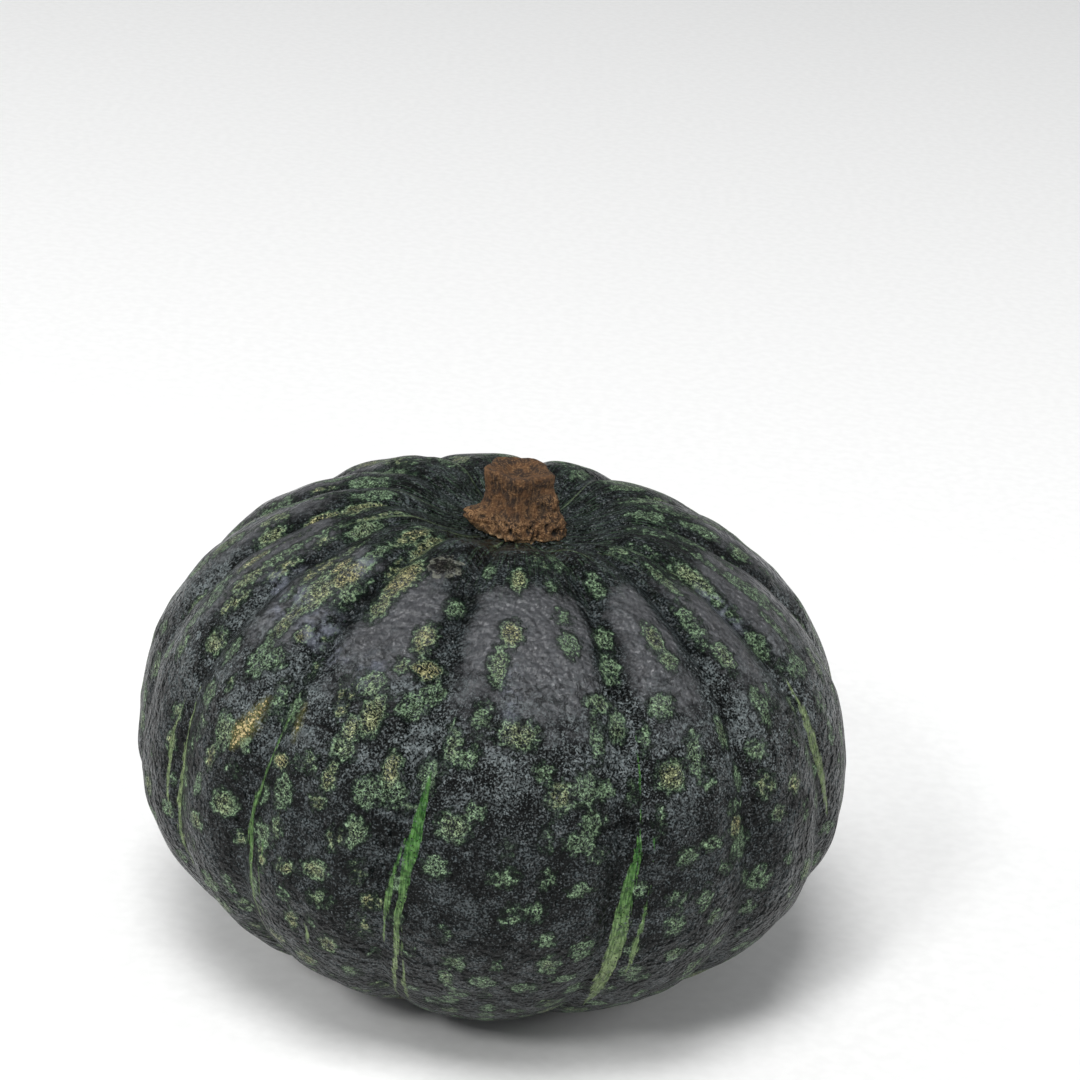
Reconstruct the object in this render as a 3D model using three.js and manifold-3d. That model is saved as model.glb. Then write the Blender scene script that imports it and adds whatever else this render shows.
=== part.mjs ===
// Kabocha squash: a squat, ribbed, hard-skinned winter squash standing on its blossom end, with the corky
// stump of its stem in the hollow at the top.
// Millimetres, +Z up. The front is -Y. Azimuths are in degrees from the front, growing towards +X.
// The origin is on the floor, under the middle of the whole squash.

import * as THREE from "three";
import { mergeVertices } from "three/addons/utils/BufferGeometryUtils.js";
import Module from "manifold-3d";

// Fruit, measured from the centre of its widest circle along its own axis.
const EQUATOR_RADIUS = 88;
const CROWN_HEIGHT = 69; // widest circle to the crown, before the stem hollow
const BASE_HEIGHT = 59; // widest circle to the blossom end, before its dimple
const CROWN_SQUARENESS = 2.32; // superellipse exponent above the widest circle: 2 is round
const BASE_SQUARENESS = 1.88; // below it, where the fruit tapers
const STEM_HOLLOW = { depth: 8, radius: 25 };
const BLOSSOM_DIMPLE = { depth: 5, radius: 17 };
const BLOSSOM_SHIFT = 1.5; // the blossom end lies this far off the stem's axis, towards +X
const LEAN = THREE.MathUtils.degToRad(1.5); // the fruit stands a little crooked, its crown towards +X
const FLATTENED = 2.5; // how much of the underside is flat, as it lies on the ground

// Grooves that part the lobes: azimuth at the widest circle, how far the groove drifts towards
// the crown, and how far the lobe after it swells.
const GROOVES = [
  { azimuth: -58, drift: -3, swell: 1.5 },
  { azimuth: -40, drift: 4, swell: 1.7 },
  { azimuth: -14.5, drift: 3, swell: 2.1 },
  { azimuth: 21, drift: 2, swell: 1.7 },
  { azimuth: 46, drift: -3, swell: 1.7 },
  { azimuth: 69, drift: -9, swell: 1.5 },
  { azimuth: 95, drift: -4, swell: 2.0 },
  { azimuth: 121, drift: 2, swell: 1.4 },
  { azimuth: 148, drift: 3, swell: 1.9 },
  { azimuth: 177, drift: -2, swell: 1.6 },
  { azimuth: 205, drift: 2, swell: 2.0 },
  { azimuth: 231, drift: 4, swell: 1.5 },
  { azimuth: 258, drift: -2, swell: 1.7 },
  { azimuth: 281, drift: -4, swell: 1.4 },
];
const GROOVE_DEPTH = 1.0;
const GROOVE_HALF_WIDTH = 4.5; // degrees
const LOBE_FADE = { crown: 24, base: 18 }; // degrees from each pole over which the lobes rise

// Stem: a short corky column on a spreading foot, cut off square.
const STEM_PROFILE = [
  [11.3, 0], // foot, widest just above the rind
  [11.6, 1.6],
  [10.6, 3.6],
  [9.2, 5.6],
  [8.6, 8.5], // waist
  [8.9, 12],
  [9.4, 15], // cut end
];
const PITH = { radius: 4.2, rim: 0.3, depth: 1.4 }; // shallow hollow in the middle of the cut end
const STEM_RIDGES = 5;
const STEM_RIDGE_RISE = 0.09; // share of the stem's radius
const STEM_LEAN = THREE.MathUtils.degToRad(-3);
const SEAT_GAP = 0.3; // between the foot and the floor of the stem hollow

// Steps round and down the fruit, and round and between the outline points of the stem.
const AROUND = 98;
const DOWN = 38;
const STEM_AROUND = 40;
const STEM_STEPS = 10;

const RIND = new THREE.MeshStandardMaterial({ color: 0x262c2b, roughness: 0.45, metalness: 0 });
const CORK = new THREE.MeshStandardMaterial({ color: 0x7a5230, roughness: 0.9, metalness: 0 });

const smooth = (x) => THREE.MathUtils.smoothstep(x, 0, 1);

// Degrees from a to b, between -180 and 180.
const turn = (a, b) => THREE.MathUtils.euclideanModulo(b - a + 180, 360) - 180;

// Plain body of revolution: radius and height at a polar angle, 0 at the crown and pi at the base.
function section(polar) {
  const up = Math.cos(polar);
  const out = Math.sin(polar);
  const [height, power] = up > 0 ? [CROWN_HEIGHT, CROWN_SQUARENESS] : [BASE_HEIGHT, BASE_SQUARENESS];
  const scale = (Math.abs(up) ** power + Math.abs(out) ** power) ** (-1 / power);
  const radius = EQUATOR_RADIUS * out * scale;
  const hollow =
    up > 0
      ? -STEM_HOLLOW.depth * Math.exp(-((radius / STEM_HOLLOW.radius) ** 4))
      : BLOSSOM_DIMPLE.depth * Math.exp(-((radius / BLOSSOM_DIMPLE.radius) ** 2));
  return { radius, height: height * up * scale + hollow };
}

// How far the rind stands out of the plain body: up on each lobe, down in each groove.
function lobing(polar, azimuth) {
  const up = Math.cos(polar);
  const at = GROOVES.map((g) => turn(g.azimuth + g.drift * up, azimuth));
  const before = at.reduce((best, d, i) => (d >= 0 && (at[best] < 0 || d < at[best]) ? i : best), 0);
  const after = (before + 1) % GROOVES.length;
  const past = at[before];
  const left = -at[after];
  const across = (past - left) / (past + left); // -1 at one groove, 0 on the lobe's crest, 1 at the next
  const nearest = Math.min(past, left);
  const degrees = THREE.MathUtils.radToDeg(polar);
  const fade = smooth(degrees / LOBE_FADE.crown) * smooth((180 - degrees) / LOBE_FADE.base);
  const crest = GROOVES[before].swell * (1 - across ** 2);
  const groove = GROOVE_DEPTH * Math.exp(-((nearest / GROOVE_HALF_WIDTH) ** 2));
  return fade * (crest - groove);
}

function rindPoint(polar, azimuth) {
  const { radius, height } = section(polar);
  const grow = 1 + lobing(polar, azimuth) / EQUATOR_RADIUS;
  const a = THREE.MathUtils.degToRad(azimuth);
  const shift = BLOSSOM_SHIFT * Math.max(0, -Math.cos(polar)) ** 2;
  return new THREE.Vector3(radius * Math.sin(a) + shift, -radius * Math.cos(a), height).multiplyScalar(grow);
}

// A unit sphere, every point of which is carried to the place that the given function says.
function carriedSphere(around, down, place) {
  const sphere = new THREE.SphereGeometry(1, around, down);
  const points = sphere.getAttribute("position");
  for (let i = 0; i < points.count; i++) {
    const p = new THREE.Vector3().fromBufferAttribute(points, i);
    const polar = Math.acos(THREE.MathUtils.clamp(p.y, -1, 1));
    const to = place(polar, THREE.MathUtils.radToDeg(Math.atan2(p.x, p.z)));
    points.setXYZ(i, to.x, to.y, to.z);
  }
  return sphere;
}

// manifold-3d joins and cuts closed solids whose vertices are shared.
const wasm = await Module();
wasm.setup();

function toSolid(geometry) {
  const bare = geometry.clone();
  bare.deleteAttribute("normal");
  bare.deleteAttribute("uv");
  const merged = mergeVertices(bare, 1e-3);
  const vertProperties = new Float32Array(merged.getAttribute("position").array);
  const triVerts = new Uint32Array(merged.index.array);
  return new wasm.Manifold(new wasm.Mesh({ numProp: 3, vertProperties, triVerts }));
}

function toGeometry(solid) {
  const { vertProperties, triVerts } = solid.getMesh();
  const geometry = new THREE.BufferGeometry();
  geometry.setAttribute("position", new THREE.BufferAttribute(vertProperties, 3));
  geometry.setIndex(new THREE.BufferAttribute(triVerts, 1));
  geometry.computeVertexNormals();
  return geometry;
}

// Lowest point of a geometry once the fruit leans.
function lowest(geometry) {
  const leaning = geometry.clone().applyMatrix4(new THREE.Matrix4().makeRotationY(LEAN));
  leaning.computeBoundingBox();
  return leaning.boundingBox.min.z;
}

// The fruit, with its underside cut level where it stands.
function makeFruit() {
  const rind = carriedSphere(AROUND, DOWN, rindPoint);
  const floor = lowest(rind) + FLATTENED;
  const below = new THREE.BoxGeometry(4 * EQUATOR_RADIUS, 4 * EQUATOR_RADIUS, BASE_HEIGHT);
  below.translate(0, 0, floor - BASE_HEIGHT / 2);
  below.applyMatrix4(new THREE.Matrix4().makeRotationY(-LEAN));
  const mesh = new THREE.Mesh(toGeometry(toSolid(rind).subtract(toSolid(below))), RIND);
  mesh.name = "fruit";
  return mesh;
}

// The stem: a lathed column whose five ridges fade out towards the middle of its two ends.
function makeStem() {
  const outline = STEM_PROFILE.map(([radius, height]) => new THREE.Vector2(radius, height));
  const top = outline.at(-1).y;
  const profile = [
    new THREE.Vector2(0, 0),
    ...new THREE.SplineCurve(outline).getPoints(STEM_STEPS),
    new THREE.Vector2(PITH.radius, top - PITH.rim),
    new THREE.Vector2(0, top - PITH.depth),
  ];
  const column = new THREE.LatheGeometry(profile, STEM_AROUND);
  column.rotateX(Math.PI / 2);
  const points = column.getAttribute("position");
  for (let i = 0; i < points.count; i++) {
    const angle = Math.atan2(points.getX(i), -points.getY(i));
    const grow = 1 + STEM_RIDGE_RISE * Math.cos(STEM_RIDGES * angle);
    const sway = Math.tan(STEM_LEAN) * points.getZ(i);
    points.setX(i, points.getX(i) * grow + sway);
    points.setY(i, points.getY(i) * grow);
  }
  const mesh = new THREE.Mesh(column, CORK);
  mesh.name = "stem";
  return mesh;
}

// Height of the highest point of the rind beneath the stem's foot.
function seatHeight() {
  const footReach = STEM_PROFILE[1][0] * (1 + STEM_RIDGE_RISE);
  let seat = -Infinity;
  for (let polar = 0; Math.abs(rindPoint(polar, 0).y) <= footReach; polar += Math.PI / 180) {
    for (let azimuth = 0; azimuth < 360; azimuth++) seat = Math.max(seat, rindPoint(polar, azimuth).z);
  }
  return seat;
}

const fruit = makeFruit();
const stem = makeStem();
stem.position.z = seatHeight() + SEAT_GAP;

const leaning = new THREE.Group();
leaning.rotation.y = LEAN;
leaning.add(fruit, stem);

const squash = new THREE.Group();
squash.add(leaning);

// Stand it on the floor, with the origin under the middle of its box.
const box = new THREE.Box3().setFromObject(squash, true);
const middle = box.getCenter(new THREE.Vector3());
leaning.position.set(-middle.x, -middle.y, -box.min.z);

export default squash;
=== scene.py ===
# A kabocha squash standing on its blossom end: the hard, ribbed, blackish green fruit, and the corky stump of
# its stem in the hollow at the top. Metres, +Z up, the front is -Y. Azimuths are in degrees from the front,
# growing towards +X. "Along" is the way over the rind from the crown, down a lobe, to the blossom end.

import math
import random
from functools import cache

import bmesh
import bpy
from mathutils import Matrix, Vector, noise
from mathutils.bvhtree import BVHTree
from mathutils.kdtree import KDTree


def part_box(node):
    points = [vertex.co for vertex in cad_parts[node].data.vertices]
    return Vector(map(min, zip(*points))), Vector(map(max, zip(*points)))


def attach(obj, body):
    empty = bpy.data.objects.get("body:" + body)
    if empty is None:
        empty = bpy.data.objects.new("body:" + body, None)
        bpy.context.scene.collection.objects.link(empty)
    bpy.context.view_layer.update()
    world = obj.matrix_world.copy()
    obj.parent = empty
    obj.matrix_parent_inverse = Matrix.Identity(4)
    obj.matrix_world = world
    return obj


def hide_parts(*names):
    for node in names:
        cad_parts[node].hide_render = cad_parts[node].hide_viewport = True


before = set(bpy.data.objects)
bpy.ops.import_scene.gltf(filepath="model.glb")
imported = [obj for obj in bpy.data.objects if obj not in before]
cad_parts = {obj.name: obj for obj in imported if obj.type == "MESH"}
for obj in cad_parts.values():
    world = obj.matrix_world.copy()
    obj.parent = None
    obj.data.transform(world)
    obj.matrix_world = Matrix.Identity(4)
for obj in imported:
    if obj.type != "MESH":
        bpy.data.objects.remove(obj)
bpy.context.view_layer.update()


# ---- Fruit ---------------------------------------------------------------------------------------------
# One body that grew in fourteen shallow lobes, with a narrow groove between each two, under a hard waxy rind.
# A sheet is wrapped round it, and it stands on its blossom end, pressed flat there, its crown sunk in round
# the stem.

MM = 0.001
EQUATOR_RADIUS = 0.088
CROWN_HEIGHT = 0.069  # widest circle to the crown, before the stem hollow
BASE_HEIGHT = 0.059
CROWN_SQUARENESS = 2.32  # superellipse exponent: 2 is round
BASE_SQUARENESS = 1.88
STEM_HOLLOW_DEPTH = 0.008
STEM_HOLLOW_RADIUS = 0.025
STEM_HOLLOW_STEEPNESS = 4  # exponent: 2 is a soft bowl
DIMPLE_DEPTH = 0.005
DIMPLE_RADIUS = 0.017
BLOSSOM_SHIFT = 0.0015
LEAN = math.radians(1.5)  # its crown leans towards +X
FLATTENED = 0.0025  # how much of the underside is pressed flat

# Each lobe: azimuth of the groove before it, how far that groove drifts towards the crown, how far the
# lobe swells in millimetres, and how yellow its mottles are, from 0 to 1.
LOBES = [
    (-58, -3, 1.5, 0.60),
    (-40, 4, 1.7, 0.70),
    (-14.5, 3, 2.1, 0.35),
    (21, 2, 1.7, 0.35),
    (46, -3, 1.7, 0.35),
    (69, -9, 1.5, 0.25),
    (95, -4, 2.0, 0.40),
    (121, 2, 1.4, 0.55),
    (148, 3, 1.9, 0.30),
    (177, -2, 1.6, 0.45),
    (205, 2, 2.0, 0.65),
    (231, 4, 1.5, 0.35),
    (258, -2, 1.7, 0.50),
    (281, -4, 1.4, 0.55),
]
GROOVE_DEPTH = 0.0009
GROOVE_HALF_WIDTH = 4.0  # degrees
CREASE_DEPTH = 0.0004  # the sharp line at the bottom of a groove
CREASE_HALF_WIDTH = 1.4
LOBE_FADE_CROWN = 24  # degrees from the crown over which the lobes rise
LOBE_FADE_BASE = 18

# Steps of the sheet round and down the fruit, and of the measure from crown to blossom end.
COLUMNS = 440
ROWS = 220
ALONG_STEPS = 720


def smooth(x):
    """Eases from 0 to 1 as x goes from 0 to 1, and stays there outside."""
    x = min(max(x, 0.0), 1.0)
    return x * x * (3 - 2 * x)


def bell(x):
    """1 at x = 0, fading on both sides."""
    return math.exp(-x * x)


def turn(start, end):
    """Degrees from start to end, between -180 and 180."""
    return (end - start + 180) % 360 - 180


@cache
def section(polar):
    """Radius and height of the plain body of revolution at an angle from its crown."""
    up = math.cos(polar)
    out = math.sin(polar)
    height, power = (CROWN_HEIGHT, CROWN_SQUARENESS) if up > 0 else (BASE_HEIGHT, BASE_SQUARENESS)
    scale = (abs(up) ** power + abs(out) ** power) ** (-1 / power)
    radius = EQUATOR_RADIUS * out * scale
    if up > 0:
        hollow = -STEM_HOLLOW_DEPTH * math.exp(-((radius / STEM_HOLLOW_RADIUS) ** STEM_HOLLOW_STEEPNESS))
    else:
        hollow = DIMPLE_DEPTH * bell(radius / DIMPLE_RADIUS)
    return radius, height * up * scale + hollow


@cache
def grooves_at(polar):
    """Azimuth of every groove at an angle from the crown."""
    return [azimuth + drift * math.cos(polar) for azimuth, drift, *_ in LOBES]


def lobe_at(polar, azimuth):
    """The lobe here, the way across it from -1 to 1, and the degrees to the nearer groove."""
    past = [(azimuth - groove) % 360 for groove in grooves_at(polar)]
    lobe = past.index(min(past))
    to_next = 360 - past[(lobe + 1) % len(LOBES)]
    across = (past[lobe] - to_next) / (past[lobe] + to_next)
    return lobe, across, min(past[lobe], to_next)


@cache
def lobe_fade(polar):
    """How far the lobes have risen at an angle from the crown, from 0 to 1."""
    degrees = math.degrees(polar)
    return smooth(degrees / LOBE_FADE_CROWN) * smooth((180 - degrees) / LOBE_FADE_BASE)


# The way along the rind from the crown, added up over the plain section.
along_table = [0.0]
for step in range(ALONG_STEPS):
    here = section(math.pi * step / ALONG_STEPS)
    there = section(math.pi * (step + 1) / ALONG_STEPS)
    along_table.append(along_table[-1] + math.dist(here, there))
ALONG_TOTAL = along_table[-1]


@cache
def along_at(polar):
    """The way along the rind from the crown to an angle from it."""
    place = polar / math.pi * ALONG_STEPS
    step = min(int(place), ALONG_STEPS - 1)
    return along_table[step] + (along_table[step + 1] - along_table[step]) * (place - step)


# Unevenness of the rind, each kind from its own part of the noise.
BROAD_RISE, BROAD_SIZE = 0.0006, 0.032
DENT_RISE, DENT_SIZE, DENT_PART = 0.00070, 0.0095, Vector((7, 0, 0))
CRINKLE_RISE, CRINKLE_SIZE, CRINKLE_PART = 0.00016, 0.0070, Vector((3, 3, 3))
CRINKLE_LEVEL, CRINKLE_SHARPNESS = 0.4, 2
PATCH_SIZE, PATCH_PART = 0.030, Vector((0, 5.3, 1.7))  # where the rind is leathery
PATCH_START, PATCH_EASE = -0.05, 0.35
CRINKLE_OUTSIDE_PATCH = 0.25
RAY_RISE, RAYS = 0.0007, 9  # ridges that run out from the stem
RAY_START, RAY_END = 9, 34  # degrees from the crown


def relief(place, polar, azimuth):
    """How far the rind stands above its smooth lobes."""
    broad = BROAD_RISE * noise.noise(place / BROAD_SIZE)
    dents = DENT_RISE * noise.noise(place / DENT_SIZE + DENT_PART)
    patch = smooth((noise.noise(place / PATCH_SIZE + PATCH_PART) - PATCH_START) / PATCH_EASE)
    crease = abs(noise.noise(place / CRINKLE_SIZE + CRINKLE_PART)) * CRINKLE_SHARPNESS
    crinkle = CRINKLE_RISE * (CRINKLE_OUTSIDE_PATCH + patch) * (CRINKLE_LEVEL - crease)
    angle = math.radians(azimuth)
    round_stem = Vector((math.sin(angle), math.cos(angle), 0.1 * polar)) * RAYS
    degrees = math.degrees(polar)
    ray_fade = smooth(degrees / RAY_START) * (1 - smooth((degrees - RAY_START) / (RAY_END - RAY_START)))
    rays = RAY_RISE * ray_fade * noise.noise(round_stem)
    return broad + dents + crinkle + rays


def rind_point(polar, azimuth):
    """Place of a point of the rind before the fruit leans, and how deep in a groove it is."""
    radius, height = section(polar)
    lobe, across, nearest = lobe_at(polar, azimuth)
    groove = bell(nearest / GROOVE_HALF_WIDTH) * lobe_fade(polar)
    swell = LOBES[lobe][2] * MM * (1 - across**2) * lobe_fade(polar)
    crease = CREASE_DEPTH * bell(nearest / CREASE_HALF_WIDTH) * lobe_fade(polar)
    angle = math.radians(azimuth)
    shift = BLOSSOM_SHIFT * max(0.0, -math.cos(polar)) ** 2
    plain = Vector((radius * math.sin(angle) + shift, -radius * math.cos(angle), height))
    rise = swell - GROOVE_DEPTH * groove - crease + relief(plain, polar, azimuth)
    return plain * (1 + rise / EQUATOR_RADIUS), groove


# The rind is freckled with clusters of pale green and yellow specks. They lie in loose rows down every lobe,
# long near the crown and round lower down. The large ones at the front are placed one by one.

# Large mottles: azimuth, millimetres along from the crown, half width and half length in millimetres,
# strength, and yellowness.
LARGE_MOTTLES = [
    (-31, 50, 3.9, 7.3, 1, 1),
    (-31, 59, 3, 5.6, 0.8, 0.7),
    (-45, 55, 3.2, 5.6, 1, 1),
    (-46.5, 63, 2.8, 6.7, 0.9, 0.7),
    (-48, 73, 2.5, 6.7, 0.9, 0.7),
    (-42.5, 74, 2.1, 2.9, 0.8, 0.8),
    (-17.5, 65, 2.8, 4.7, 0.9, 0.8),
    (-15, 72.5, 3.9, 2.7, 1, 1),
    (-20, 73, 2.3, 2, 0.8, 0.6),
    (-14, 54, 2.5, 2.9, 0.8, 0.3),
    (-23.5, 79, 3.2, 3.6, 0.9, 0.5),
    (-21.5, 86, 3, 5.6, 1, 0.7),
    (-15.5, 82, 3.4, 3.1, 1, 0.2),
    (-12.5, 78, 3, 2.9, 0.9, 0.2),
    (1, 60, 2.8, 4, 1, 0.8),
    (-1, 69, 2.5, 5.6, 0.9, 0.5),
    (3.5, 85, 5.1, 3.8, 1, 0.6),
    (13.5, 54, 2.8, 2.5, 0.7, 0.3),
    (14, 62, 2.8, 3.8, 0.8, 0.3),
    (23, 60, 2.3, 3.4, 0.8, 0.4),
    (22.5, 68, 2.5, 4.7, 0.8, 0.4),
    (18.5, 77, 3.9, 2.5, 0.8, 0.5),
    (34.5, 62, 2.5, 4.5, 1, 0.6),
    (35.5, 68, 2.8, 2.9, 0.9, 0.5),
    (30.5, 79, 3.4, 3.1, 0.9, 0.4),
    (21.5, 83, 2.3, 4, 0.9, 0.5),
    (50, 71, 2.3, 4.5, 1, 0.5),
    (34.5, 91, 2.5, 5.2, 0.9, 0.4),
    (29.5, 95, 4.1, 3.6, 1, 0.7),
    (42, 110, 3, 2.9, 1, 1),
    (2, 43, 2.2, 4.5, 1, 0.7),
    (-8, 40, 1.6, 3.5, 0.7, 0.3),
    (12, 44, 1.6, 3, 0.7, 0.2),
    (27, 44, 1.8, 4.5, 0.8, 0.3),
    (8, 93, 2.5, 2.5, 0.8, 0.2),
    (18, 97, 2.5, 2.2, 0.9, 0.2),
    (14, 109, 3.7, 2.5, 0.9, 0.2),
    (-5, 107, 4.1, 3.4, 1, 0.5),
    (-2, 103, 2.3, 2.7, 0.8, 0.3),
    (-19, 103, 3.2, 3.6, 1, 0.2),
    (-15, 102, 3, 3.6, 1, 0.3),
    (-24.5, 95, 3.4, 2.9, 0.9, 0.5),
    (-33, 109, 2.8, 4.3, 0.9, 0.4),
    (-7, 117, 3, 2.7, 0.9, 0.1),
    (3, 117, 3.9, 2.5, 0.7, 0.2),
    (-4, 91, 2.8, 2.5, 0.8, 0.1),
]
MOTTLE_ROW_SPACING = 7.0  # degrees
MOTTLE_ROW_WANDER = 1.6
MOTTLE_STEP = (6.0, 10.0)  # millimetres along, as are the next lines
MOTTLE_FIRST, MOTTLE_LAST = 33, 196
MOTTLE_HALF_WIDTH = (1.6, 3.7)
MOTTLE_HALF_LENGTH = (1.8, 3.9)
UPPER_END, UPPER_EASE = 50.4, 67.2  # mottles are long and narrow above here, and change over this far
UPPER_NARROWER, UPPER_LONGER, UPPER_SPREAD = 0.15, 1.1, 0.5
MOTTLE_CLEARANCE = 4.4
MOTTLE_STRENGTH = (0.4, 1.0)
YELLOW_VARIETY = 0.22
MOTTLE_SKIPPED = 0.10
# Where at the front every mottle is placed one by one: azimuths, and millimetres along.
PLACED_AZIMUTHS = (-36, 44)
PLACED_ALONG = (36, 80)


def is_taken(azimuth, along):
    """Whether a mottle here would lie on a large one or among those placed one by one."""
    if PLACED_AZIMUTHS[0] < azimuth < PLACED_AZIMUTHS[1] and PLACED_ALONG[0] < along < PLACED_ALONG[1]:
        return True
    for other_azimuth, other_along, *_ in LARGE_MOTTLES:
        aside = math.radians(turn(other_azimuth, azimuth)) * EQUATOR_RADIUS / MM
        if math.hypot(aside, along - other_along) < MOTTLE_CLEARANCE:
            return True
    return False


def scattered_mottles(seed):
    """Rows of mottles down every lobe, as (azimuth, along, half width, half length, strength, yellow)."""
    chance = random.Random(seed)
    mottles = []
    for index, (start, drift, _, yellow) in enumerate(LOBES):
        width = turn(start, LOBES[(index + 1) % len(LOBES)][0])
        rows = max(2, round(width / MOTTLE_ROW_SPACING))
        for row in range(rows):
            along = MOTTLE_FIRST + chance.uniform(0, MOTTLE_STEP[1])
            while along < MOTTLE_LAST:
                upper = 1 - smooth((along - UPPER_END) / UPPER_EASE)
                azimuth = start + width * (row + 0.6) / (rows + 0.2) + chance.gauss(0, MOTTLE_ROW_WANDER)
                half_width = chance.uniform(*MOTTLE_HALF_WIDTH) * (1 - UPPER_NARROWER * upper)
                half_length = chance.uniform(*MOTTLE_HALF_LENGTH) * (1 + UPPER_LONGER * upper)
                strength = chance.uniform(*MOTTLE_STRENGTH)
                gold = min(max(yellow + chance.gauss(0, YELLOW_VARIETY), 0), 1)
                if chance.random() > MOTTLE_SKIPPED and not is_taken(azimuth, along):
                    mottles.append((azimuth, along, half_width, half_length, strength, gold))
                along += chance.uniform(*MOTTLE_STEP) * (1 + UPPER_SPREAD * upper)
    return mottles


# Waxy, bluish bloom that was not rubbed off: azimuth, along, half width, half length.
BLOOM_PATCHES = [
    (-60, 66, 5, 5),
    (-51, 69, 5, 5),
    (-41, 71, 5, 5),
    (-25, 76, 3, 4),
    (-33, 75, 3, 3),
    (2, 76, 2, 6),
    (-44, 51, 3, 3),
    (63, 60, 4, 7),
    (118, 70, 6, 6),
    (172, 62, 7, 5),
    (-140, 75, 6, 8),
    (-100, 66, 5, 5),
]


# The mesh: a flat sheet wrapped round the fruit, so that its width goes once round and its height goes from
# the blossom end up to the crown. It is leant, pressed flat where the fruit stands, and set in its place.

rind_bm = bmesh.new()
bmesh.ops.create_grid(rind_bm, x_segments=COLUMNS, y_segments=ROWS, size=1)
groove_layer = rind_bm.verts.layers.float.new("groove")
mottle_layer = rind_bm.verts.layers.float.new("mottle")
yellow_layer = rind_bm.verts.layers.float.new("yellow")
bloom_layer = rind_bm.verts.layers.float.new("bloom")
along_layer = rind_bm.verts.layers.float.new("along")
azimuth_layer = rind_bm.verts.layers.float.new("azimuth")
lobe_map = rind_bm.loops.layers.uv.new("lobes")

for vert in rind_bm.verts:
    polar = math.pi * (1 - vert.co.y) / 2
    vert[azimuth_layer] = 180 * vert.co.x
    vert[along_layer] = along_at(polar) / MM
    for loop in vert.link_loops:
        loop[lobe_map].uv = (vert[azimuth_layer] / 360 + 0.5, 1 - vert[along_layer] * MM / ALONG_TOTAL)
    vert.co, vert[groove_layer] = rind_point(polar, vert[azimuth_layer])
bmesh.ops.remove_doubles(rind_bm, verts=rind_bm.verts, dist=1e-7)
bmesh.ops.recalc_face_normals(rind_bm, faces=rind_bm.faces)
for face in rind_bm.faces:
    face.smooth = True

rind_bm.verts.index_update()
rind_bm.verts.ensure_lookup_table()
points = KDTree(len(rind_bm.verts))
for vert in rind_bm.verts:
    points.insert(vert.co, vert.index)
points.balance()


def polar_at(along):
    """The angle from the crown at so many millimetres along."""
    step = next(i for i, reached in enumerate(along_table) if reached >= along * MM)
    return math.pi * step / ALONG_STEPS


SPREAD_END, SPREAD_EASE = 1.55, 1.1  # in half widths: where a mark has faded out, and how gradually
SEARCH_REACH = 1.7


def spread(azimuth, along, half_width, half_length):
    """Points of the rind round a place, each with how near its middle it is: 1 there, 0 at its rim."""
    centre, _ = rind_point(polar_at(along), azimuth)
    for _, index, _ in points.find_range(centre, SEARCH_REACH * max(half_width, half_length) * MM):
        vert = rind_bm.verts[index]
        girth = math.hypot(vert.co.x, vert.co.y) / MM
        aside = math.radians(turn(azimuth, vert[azimuth_layer])) * girth
        reach = math.hypot(aside / half_width, (vert[along_layer] - along) / half_length)
        yield vert, smooth((SPREAD_END - reach) / SPREAD_EASE)


for azimuth, along, half_width, half_length, strength, yellow in LARGE_MOTTLES + scattered_mottles(seed=7):
    for vert, nearness in spread(azimuth, along, half_width, half_length):
        if nearness * strength > vert[mottle_layer]:
            vert[mottle_layer] = nearness * strength
        vert[yellow_layer] = max(vert[yellow_layer], yellow * nearness)
for azimuth, along, half_width, half_length in BLOOM_PATCHES:
    for vert, nearness in spread(azimuth, along, half_width, half_length):
        vert[bloom_layer] = max(vert[bloom_layer], nearness)

bmesh.ops.rotate(rind_bm, cent=(0, 0, 0), matrix=Matrix.Rotation(LEAN, 3, "Y"), verts=rind_bm.verts)
standing_height = min(vert.co.z for vert in rind_bm.verts) + FLATTENED
for vert in rind_bm.verts:
    vert.co.z = max(vert.co.z, standing_height)


def low_and_high(bm):
    """Lowest and highest corner of a mesh."""
    low = Vector([min(vert.co[axis] for vert in bm.verts) for axis in range(3)])
    high = Vector([max(vert.co[axis] for vert in bm.verts) for axis in range(3)])
    return low, high


fruit_low, fruit_high = (Vector(corner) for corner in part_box("fruit"))
low, high = low_and_high(rind_bm)
fit = Vector([(fruit_high[axis] - fruit_low[axis]) / (high[axis] - low[axis]) for axis in range(3)])
bmesh.ops.translate(rind_bm, vec=-(low + high) / 2, verts=rind_bm.verts)
bmesh.ops.scale(rind_bm, vec=fit, verts=rind_bm.verts)
bmesh.ops.translate(rind_bm, vec=(fruit_low + fruit_high) / 2, verts=rind_bm.verts)
rind_tree = BVHTree.FromBMesh(rind_bm)

rind_mesh = bpy.data.meshes.new("rind")
rind_bm.to_mesh(rind_mesh)
rind_bm.free()
rind = bpy.data.objects.new("rind", rind_mesh)
bpy.context.scene.collection.objects.link(rind)
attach(rind, "root")
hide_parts("fruit")


# The finish: a thin waxy skin, nearly black with a green cast, satin where it is smooth and dull where it is
# mottled or creased. Light green streaks lie in the grooves, and pale threads run out from the stem.


def add(tree, kind, inputs=None, output=0, **settings):
    """Adds a node with its settings; each input is a number, a colour or another node's output."""
    node = tree.nodes.new(kind)
    for name, value in settings.items():
        setattr(node, name, value)
    for key, value in (inputs or {}).items():
        if isinstance(value, bpy.types.NodeSocket):
            tree.links.new(value, node.inputs[key])
        else:
            node.inputs[key].default_value = value
    return node.outputs[output]


def calc(tree, operation, first, second=0.0):
    """The result of a sum on two numbers or outputs; some operations need only the first."""
    return add(tree, "ShaderNodeMath", {0: first, 1: second}, operation=operation)


def times(tree, first, second):
    return calc(tree, "MULTIPLY", first, second)


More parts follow.
